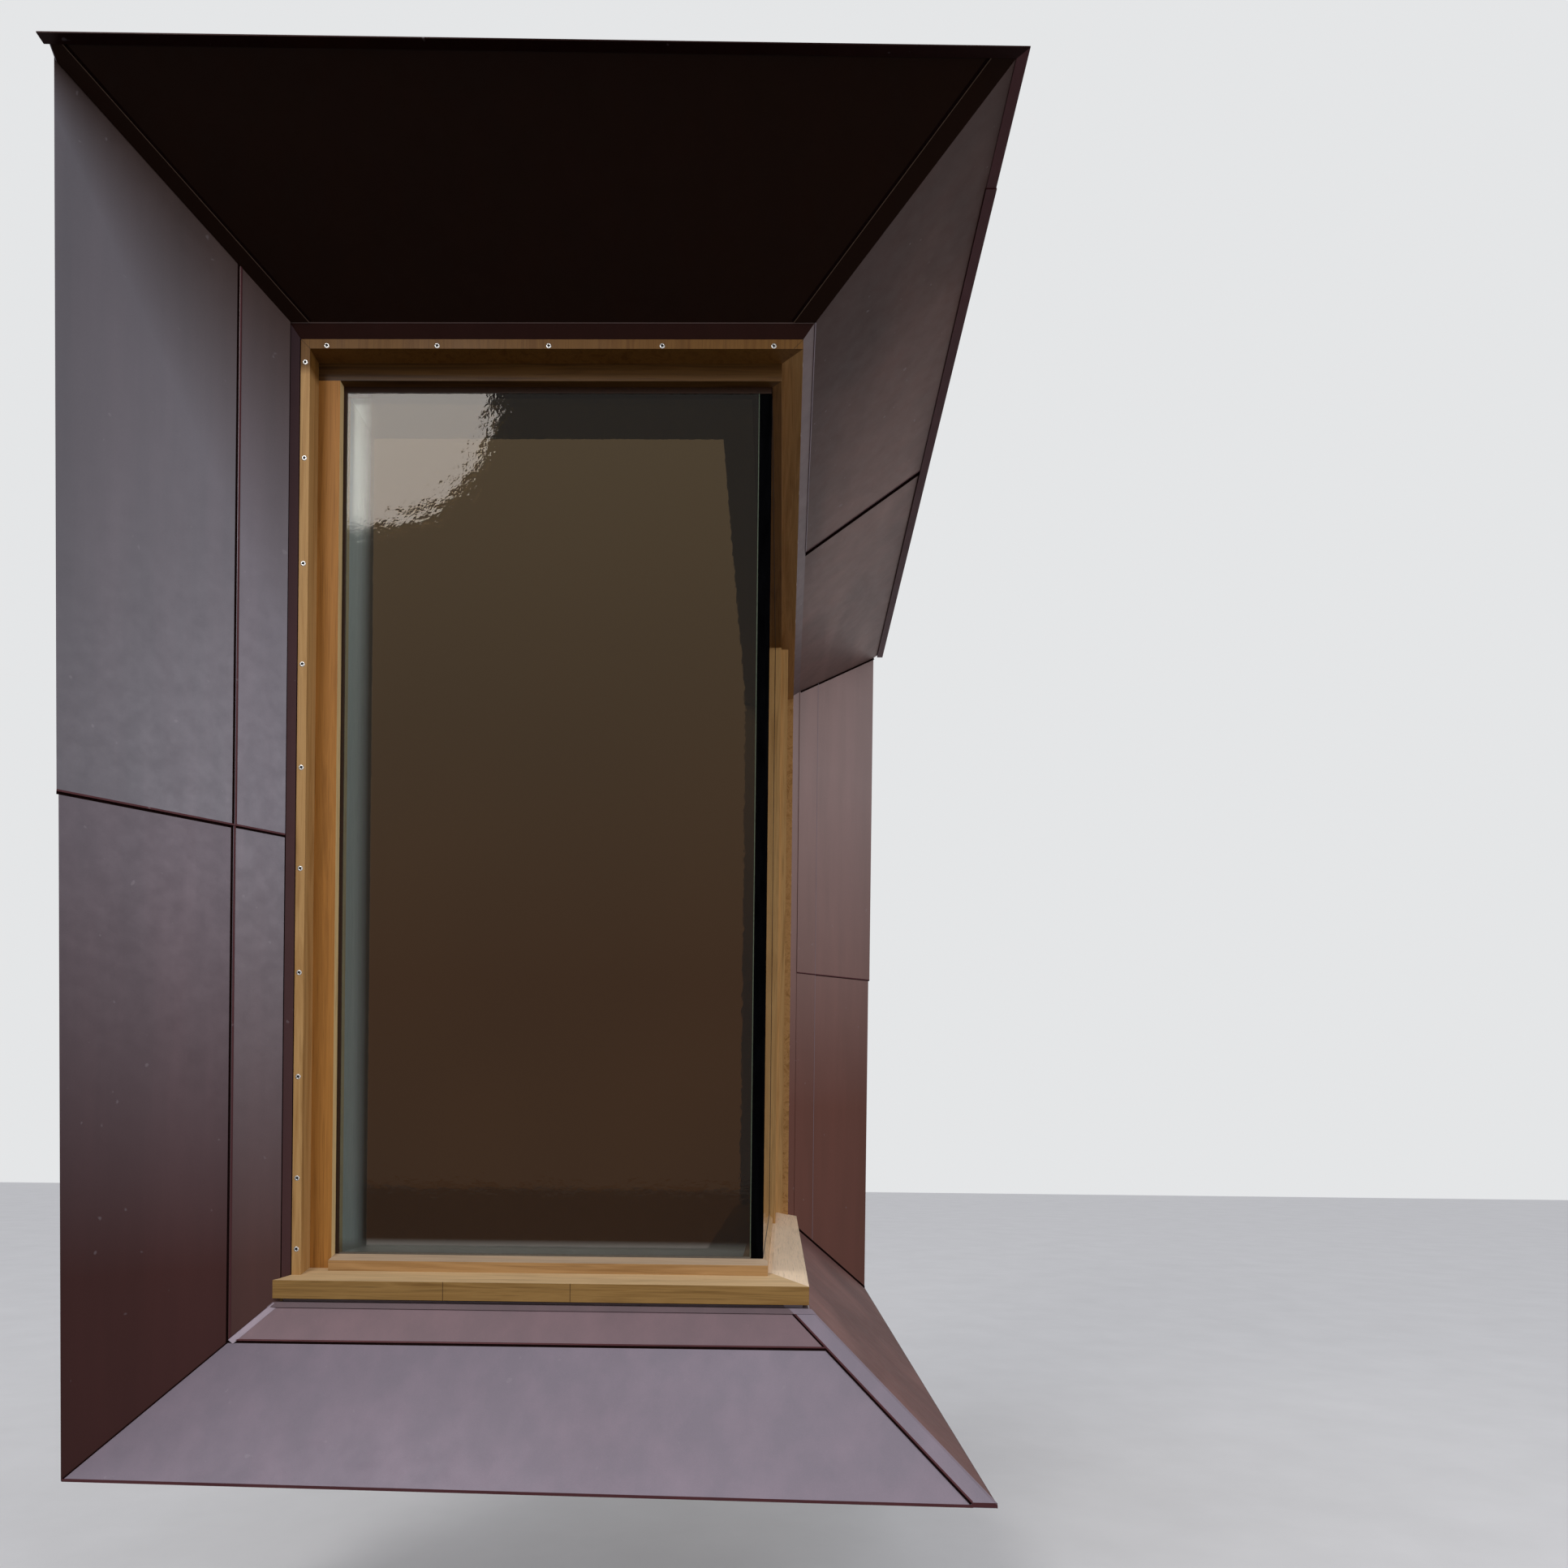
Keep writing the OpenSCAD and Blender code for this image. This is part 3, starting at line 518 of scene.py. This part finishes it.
def box(mesh, low, high, slot=0):
    """A plain bar between two corners in mm."""
    (x0, y0, z0), (x1, y1, z1) = low, high
    sweep(mesh, Vector((x0, y0, z0)) * MM, Vector((x1, y0, z0)) * MM, Vector(BACK),
          Vector(UP), flat(0, y1 - y0, 0, z1 - z0), slot)


def flat(low, high, base, top):
    """A rectangular profile, from low to high outwards and from base to top."""
    return ((low, base), (high, base), (high, top), (low, top))


def piece(name, mesh, materials, smooth=False):
    """Turns a mesh into a loose piece that rides on the body."""
    bmesh.ops.recalc_face_normals(mesh, faces=mesh.faces)
    data = bpy.data.meshes.new(name)
    for face in mesh.faces:
        face.smooth = smooth
    mesh.to_mesh(data)
    mesh.free()
    for material in materials:
        data.materials.append(material)
    made = bpy.data.objects.new(name, data)
    bpy.context.scene.collection.objects.link(made)
    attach(made, "root")


# Seams, in mm: one sheet's step over the next, and how far loose detail stands off a face
LAP = 1.5
SKIN = 0.3

# The materials of seam_hems, in order, and the profiles that they take
PLUM, GILT, BRIGHT, DIM = range(4)
HEM = ((-4.0, -0.3), (0.3, -1.0), (0.6, 0.1), (0.2, 0.7), (-1.4, 0.9), (-3.2, 0.5))
FINE_HEM = ((-1.4, -0.3), (0.2, -0.5), (0.3, 0.3), (-1.2, 0.4))
SOFFIT_FOLD = ((-1.6, -0.3), (-1.6, 0.4), (0.5, 0.3), (0.9, -1.4), (0, -1.6))
HEAD_FOLD = ((-1.8, -0.3), (0, -0.3), (0, 0.4), (-1.8, 0.4))
HIP_FOLD = ((-3, -0.3), (-3, 0.4), (0.4, 0.5), (0.8, -0.8))
BAND_END = ((-16, -0.3), (-15, 0.5), (-2, 3.0), (-0.5, 2.6), (-0.5, -0.3))

# Where one sheet laps over the next: part, the way it looks, the side of its edge, the width
# of the dark joint and painted shadow beside it, how far below its face that starts and ends, and
# the hem
LAPS = (
    ("left_jamb_inner_upper", JAMB_WAY, OUT_LEFT, 6, LAP, LAP, HEM, PLUM),
    ("left_jamb_inner_lower", JAMB_WAY, OUT_LEFT, 6, LAP, LAP, HEM, PLUM),
    ("left_jamb_inner_upper", JAMB_WAY, DOWN, 5, LAP, LAP, HEM, PLUM),
    ("left_jamb_outer_upper", JAMB_WAY, DOWN, 6, LAP, LAP, HEM, PLUM),
    ("far_jamb_inner_upper", JAMB_WAY, DOWN, 2, LAP, LAP, HEM, PLUM),
    ("far_jamb_outer_upper", JAMB_WAY, DOWN, 3, LAP, LAP, HEM, PLUM),
    ("hood_soffit_side_near", SIDE_SOFFIT_WAY, BACK, 26, LAP, LAP, HEM, PLUM),
    ("hood_corner_flashing", SOFFIT_WAY, LEFT, 6, LAP, LAP, FINE_HEM, GILT),
    ("hood_left_flashing", SOFFIT_WAY, RIGHT, 6, LAP, LAP, FINE_HEM, GILT),
    ("apron_band_front", APRON_WAY, DOWN_FRONT, 6, LAP, LAP, HEM, PLUM),
    ("sill_tray_front", APRON_WAY, DOWN_FRONT, 5, 2.5, 2.5, HEM, PLUM),
    ("apron_corner_flashing", APRON_WAY, LEFT, 4, LAP, 2 * LAP, HEM, PLUM),
)

# Joints that show as a dark line on the part's own face, with the line's width
LINES = (
    ("apron_sheet_front", APRON_WAY, LEFT, 3),
    ("apron_sheet_side", SIDE_APRON_WAY, BACK, 8),
    ("far_jamb_inner_upper", JAMB_WAY, UP, 9),
    ("far_jamb_outer_upper", JAMB_WAY, UP, 9),
    ("left_jamb_flashing", JAMB_WAY, OUT_LEFT, 3),
    ("left_jamb_flashing", JAMB_WAY, IN_RIGHT, 2),
)

# Folds on the part's own edge, in paler zinc as a painted highlight where they catch the light
FOLDS = (
    ("hood_soffit_side_near", SIDE_SOFFIT_WAY, LEFT, SOFFIT_FOLD, BRIGHT),
    ("far_jamb_inner_upper", JAMB_WAY, IN_RIGHT, FINE_HEM, BRIGHT),
    ("far_jamb_inner_lower", JAMB_WAY, IN_RIGHT, FINE_HEM, BRIGHT),
    ("head_flashing_front", SOFFIT_WAY, FRONT, HEAD_FOLD, DIM),
    ("apron_corner_flashing", APRON_WAY, RIGHT, HIP_FOLD, BRIGHT),
    ("apron_band_front", APRON_WAY, LEFT, BAND_END, BRIGHT),
)

# Drip edges, covered from the fold down in darker plum zinc, their reddish edge with painted
# shade under the fold: part, its way, the side of the edge, out, the drop
DRIPS = (
    ("apron_sheet_front", APRON_WAY, DOWN_FRONT, FRONT, 5.2),
    ("apron_corner_flashing", APRON_WAY, DOWN_FRONT, FRONT, 8.2),
    ("apron_sheet_side", SIDE_APRON_WAY, DOWN_SIDE, RIGHT, 5.2),
)
DRIP_IN = -0.5
DRIP_OUT = 1.0
DRIP_TOP = 0.6

# The joint at the far end of the side's apron: its profile up along the far jamb's face
FAR_END_JOINT = flat(-3, 9, -1, LAP + SKIN)


def add_seams():
    """The dark joints between the sheets, with painted shadow beside the lapped edges, and the
    hems, folds and drip edges on them.
    """
    dark = plain("seam_dark", srgb(16, 8, 7), srgb(30, 16, 15), 300, 0.85, level=0.0)
    plum = zinc("zinc_hem", srgb(84, 50, 53), rough=0.36, level=0.1)
    gilt = plain("strip_edge", srgb(74, 58, 48), srgb(92, 74, 62), 240, 0.5, level=0.1)
    bright = zinc("zinc_bright", srgb(132, 120, 130), rough=0.36)
    dim = zinc("zinc_dim", srgb(84, 66, 62), rough=0.36, metallic=0.0)
    joints = bmesh.new()
    hems = bmesh.new()
    for name, way, side, width, high, low, hem, slot in LAPS:
        found = edge(name, way, side)
        # Painted shadow: a dark strip on the lower sheet beside the lapped edge, over the real gap
        sweep(joints, *found, flat(0, width, -low - SKIN, SKIN - high))
        sweep(hems, *found, hem, slot)
    for name, way, side, width in LINES:
        sweep(joints, *edge(name, way, side), flat(-width, 0, -SKIN, SKIN))
    start, end, _, _ = edge("apron_sheet_side", SIDE_APRON_WAY, BACK)
    normal, _ = outline("far_jamb_outer_lower", JAMB_WAY)
    sweep(joints, start, end, Vector(UP), normal, FAR_END_JOINT)
    for name, way, side, profile, slot in FOLDS:
        sweep(hems, *edge(name, way, side), profile, slot)
    for name, way, side, out, drop in DRIPS:
        start, end, _, _ = edge(name, way, side)
        sweep(hems, start, end, Vector(out), Vector(UP),
              flat(DRIP_IN, DRIP_OUT, -drop, DRIP_TOP))
    piece("seam_joints_and_shadows", joints, [dark])
    piece("seam_hems", hems, [plum, gilt, bright, dim])
    add_tray_end(bright)


TRAY_INTO = Vector((-0.0005, 0, 0))   # m into the tray's end
TRAY_PAST = 0.0004                    # m past the hip


def add_tray_end(material):
    """The folded end of the sill's tray, from its right end to the corner's hip."""
    _, corners = outline("sill_tray_front", RIGHT)
    tip = max(outline("apron_corner_flashing", APRON_WAY)[1], key=lambda at: at.x - at.y)
    slope = (tip.x - CORNER_X * MM) / -tip.y
    mesh = bmesh.new()
    near = [mesh.verts.new(at + TRAY_INTO) for at in corners]
    far = [mesh.verts.new((CORNER_X * MM - slope * at.y + TRAY_PAST, at.y, at.z))
           for at in corners]
    count = len(corners)
    mesh.faces.new(near[::-1])
    mesh.faces.new(far)
    for k in range(count):
        mesh.faces.new((near[k], near[(k + 1) % count], far[(k + 1) % count], far[k]))
    piece("tray_end", mesh, [material])


# Glazing bands, in mm: at the head, at an upright side and at the foot, the glass edge, and
# how far they stand out of the glass. Their materials follow, in order
HEAD_BAND = 14
SIDE_BAND = 9
FOOT_BAND = 4
GLASS_EDGE = 1.4
BAND_OUT = 1
DARK_BAND, GREY_BAND, GREEN_EDGE = range(3)


def add_glazing():
    """Dark edge bands round the panes, and the thin green edge beside the corner joint."""
    dark = plain("band_dark", srgb(34, 16, 4), srgb(50, 26, 8), 200, 0.5)
    grey = plain("band_grey", srgb(86, 78, 68), srgb(104, 96, 84), 200, 0.5)
    green = plain("glass_edge", srgb(78, 92, 74), srgb(98, 112, 90), 200, 0.3)
    mesh = bmesh.new()
    under_head = GLASS_TOP - HEAD_BAND
    over_foot = GLASS_LOW + FOOT_BAND
    left, right = -CORNER_X + JAMB_W, CORNER_X - JAMB_W - JOINT_W
    out, back = GLASS_Y - BAND_OUT, GLASS_Y + SKIN
    box(mesh, (left, out, under_head), (CORNER_X - JAMB_W, back, GLASS_TOP), DARK_BAND)
    box(mesh, (left, out, GLASS_LOW), (left + SIDE_BAND, back, under_head), DARK_BAND)
    box(mesh, (left + SIDE_BAND, out, GLASS_LOW), (right, back, over_foot), GREY_BAND)
    box(mesh, (right - GLASS_EDGE, out, over_foot), (right, back, under_head), GREEN_EDGE)
    out, back = CORNER_X - GLASS_Y + BAND_OUT, CORNER_X - JAMB_W - SKIN
    near, far = GLASS_Y + JOINT_W, MULLION_AT
    box(mesh, (back, near, under_head), (out, far, GLASS_TOP), DARK_BAND)
    box(mesh, (back, far - SIDE_BAND, GLASS_LOW), (out, far, under_head), DARK_BAND)
    box(mesh, (back, near, GLASS_LOW), (out, far - SIDE_BAND, over_foot), GREY_BAND)
    piece("glazing_bands", mesh, [dark, grey, green])


# Screws, in mm: their places along the top strips and up the upright ones, and how much deeper
# the side's sit. A head's profile is (radius, height, material) from its rim to its recess, and
# the recess's star waves the rings within one radius
SCREW_X = (-510, -259, -6, 251, 503)
SCREW_Y = range(60, SIDE_W, 253)
SCREW_Z = (2290, 2073, 1834, 1606, 1372, 1143, 907, 671, 441, 280)
TOP_ROW = FRAME_TOP - 14.5
SIDE_SINK = 0.6
STEEL, RECESS = range(2)
SCREW_PROFILE = ((6.0, -0.5, STEEL), (6.0, 0.3, STEEL), (5.2, 0.8, STEEL), (3.1, 1.1, STEEL),
                 (2.6, 0.4, RECESS))
SCREW_TURNS = 20
STAR_POINTS = 5
STAR_DEPTH = 0.22
STAR_RADIUS = 4


def screw_places():
    """Where each screw sits in mm, and the turn from its own axes to the world's."""
    front = Matrix(((1, 0, 0), (0, 0, -1), (0, 1, 0)))
    side = Matrix(((0, 0, 1), (1, 0, 0), (0, 1, 0)))
    face = CORNER_X - SIDE_SINK
    places = [(Vector((x, 0, TOP_ROW)), front) for x in SCREW_X]
    places += [(Vector((-CORNER_X + COVER_W / 2, 0, z)), front) for z in SCREW_Z]
    places += [(Vector((face, y, TOP_ROW)), side) for y in SCREW_Y]
    places += [(Vector((face, SIDE_W - COVER_W / 2, z)), side) for z in SCREW_Z]
    return places


def screw_ring(mesh, at, facing, radius, height):
    """One ring of a screw's head, waved to a star where it belongs to the recess."""
    ring = []
    for k in range(SCREW_TURNS):
        angle = 2 * math.pi * k / SCREW_TURNS
        wave = STAR_DEPTH * math.cos(STAR_POINTS * angle) if radius < STAR_RADIUS else 0
        reach = radius * (1 + wave)
        local = Vector((reach * math.cos(angle), reach * math.sin(angle), height))
        ring.append(mesh.verts.new((at + facing @ local) * MM))
    return ring


def add_screws():
    """Bright screws with a star recess in the cover strips of the front and the side."""
    steel = plain("screw_steel", srgb(176, 172, 168), srgb(222, 220, 216), 900, 0.3, 0.9,
                  bump=0.0002)
    recess = plain("screw_recess", srgb(20, 18, 17), srgb(38, 34, 32), 900, 0.6)
    mesh = bmesh.new()
    for at, facing in screw_places():
        rings = [screw_ring(mesh, at, facing, radius, height)
                 for radius, height, _ in SCREW_PROFILE]
        for low, high, (_, _, slot) in zip(rings, rings[1:], SCREW_PROFILE[1:]):
            for k in range(SCREW_TURNS):
                after = (k + 1) % SCREW_TURNS
                made = mesh.faces.new((low[k], low[after], high[after], high[k]))
                made.material_index = slot
        mesh.faces.new(rings[-1]).material_index = RECESS
        mesh.faces.new(rings[0][::-1])
    piece("cover_screws", mesh, [steel, recess], smooth=True)


# Joints in the oak, in mm: the scarfs along each sill, their width, where they end on top of
# the front's, and the width of the cover strips' mitre lines
SCARF_X = (-214, 71)
SCARF_Y = (700, 1400)
SCARF_W = 1.2
SCARF_END_Y = -4
MITRE_W = 1.0


def add_oak_joints():
    """Scarf joints in the sills and the mitre lines of the cover strips, as dark hairlines."""
    dark = plain("oak_joint", srgb(58, 36, 12), srgb(84, 56, 24), 200, 0.7)
    mesh = bmesh.new()
    top = SILL_Z + SILL_T
    for x in SCARF_X:
        box(mesh, (x, -SILL_OUT - SKIN, SILL_Z), (x + SCARF_W, -SILL_OUT + SKIN, top))
        box(mesh, (x, -SILL_OUT, top - SKIN), (x + SCARF_W, SCARF_END_Y, top + SKIN))
    face = CORNER_X + SILL_OUT
    for y in SCARF_Y:
        box(mesh, (face - SKIN, y, SILL_Z), (face + SKIN, y + SCARF_W, top))
    out = Vector(FRONT)
    for side in (-1, 1):
        start = Vector((side * CORNER_X, 0, FRAME_TOP)) * MM
        end = Vector((side * (CORNER_X - COVER_W), 0, FRAME_TOP - COVER_W)) * MM
        sweep(mesh, start, end, (end - start).normalized().cross(out), out,
              flat(-MITRE_W / 2, MITRE_W / 2, -SKIN, SKIN))
    piece("oak_joints", mesh, [dark])


# Stage and light: the floor's height in metres, its tones, and the world's
GROUND_Z = -0.645
FLOOR_SIZE = 40
FLOOR_LIT = (0.16, 0.15, 0.14)
FLOOR_SEEN = ((0.66, 0.65, 0.64), (0.70, 0.69, 0.68))
WORLD_LOW = (0.30, 0.28, 0.27)
WORLD_HIGH = (0.74, 0.76, 0.82)
WORLD_SEEN = (0.78, 0.79, 0.80)


def pale_rays(g):
    """1 for the rays that see the pale background: camera, glossy and transmission rays."""
    rays = g.node("ShaderNodeLightPath").outputs
    seen = rays["Is Camera Ray"]
    for name in ("Is Glossy Ray", "Is Transmission Ray"):
        made = g.node("ShaderNodeMath", operation="MAXIMUM")
        g.put(made.inputs[0], seen)
        g.put(made.inputs[1], rays[name])
        seen = made.outputs[0]
    return seen


def add_stage():
    """A grey floor, which is pale for the rays that see the background."""
    bpy.ops.mesh.primitive_plane_add(size=FLOOR_SIZE, location=(0, 0, GROUND_Z))
    floor = bpy.context.object
    floor.name = "floor"
    g = Surface("floor")
    speck = g.noise(g.place(), scale=3, detail=4, rough=0.6)
    seen = g.ramp(speck, *zip((0.3, 0.7), FLOOR_SEEN))
    floor.data.materials.append(
        g.shade(Base_Color=g.mix(pale_rays(g), rgba(FLOOR_LIT), seen), Roughness=0.9))


def add_world():
    """A soft sky that lights the object, behind the pale background that the rays see."""
    world = bpy.data.worlds.new("world")
    bpy.context.scene.world = world
    world.use_nodes = True
    g = Graph(world.node_tree)
    coords = g.node("ShaderNodeTexCoord").outputs["Generated"]
    height = g.node("ShaderNodeSeparateXYZ", {"Vector": coords}).outputs["Z"]
    sky = g.ramp(g.span(height, -1, 1, 0, 1), (0.42, WORLD_LOW), (0.8, WORLD_HIGH))
    back = g.tree.nodes["Background"]
    g.put(back.inputs["Color"], g.mix(pale_rays(g), sky, rgba(WORLD_SEEN)))
    back.inputs["Strength"].default_value = 1.0


def area_light(name, at, aim, size, power):
    """An oval lamp of a size in metres and a power in watts, aimed at a place."""
    data = bpy.data.lights.new(name, "AREA")
    data.shape = "ELLIPSE"
    data.size, data.size_y = size
    data.energy = power
    light = bpy.data.objects.new(name, data)
    light.location = at
    light.rotation_euler = (Vector(aim) - Vector(at)).to_track_quat("-Z", "Y").to_euler()
    bpy.context.scene.collection.objects.link(light)


add_camera()
add_stage()
add_world()
area_light("key", at=(-2.6, -4.5, 5.6), aim=(0, 0, 1.0), size=(2.4, 2.0), power=150)
area_light("fill", at=(4.5, -2.5, 2.5), aim=(0.5, 0.5, 1.0), size=(3.0, 3.0), power=60)
dress_nodes()
add_seams()
add_glazing()
add_screws()
add_oak_joints()
bpy.context.scene.view_settings.view_transform = "Standard"
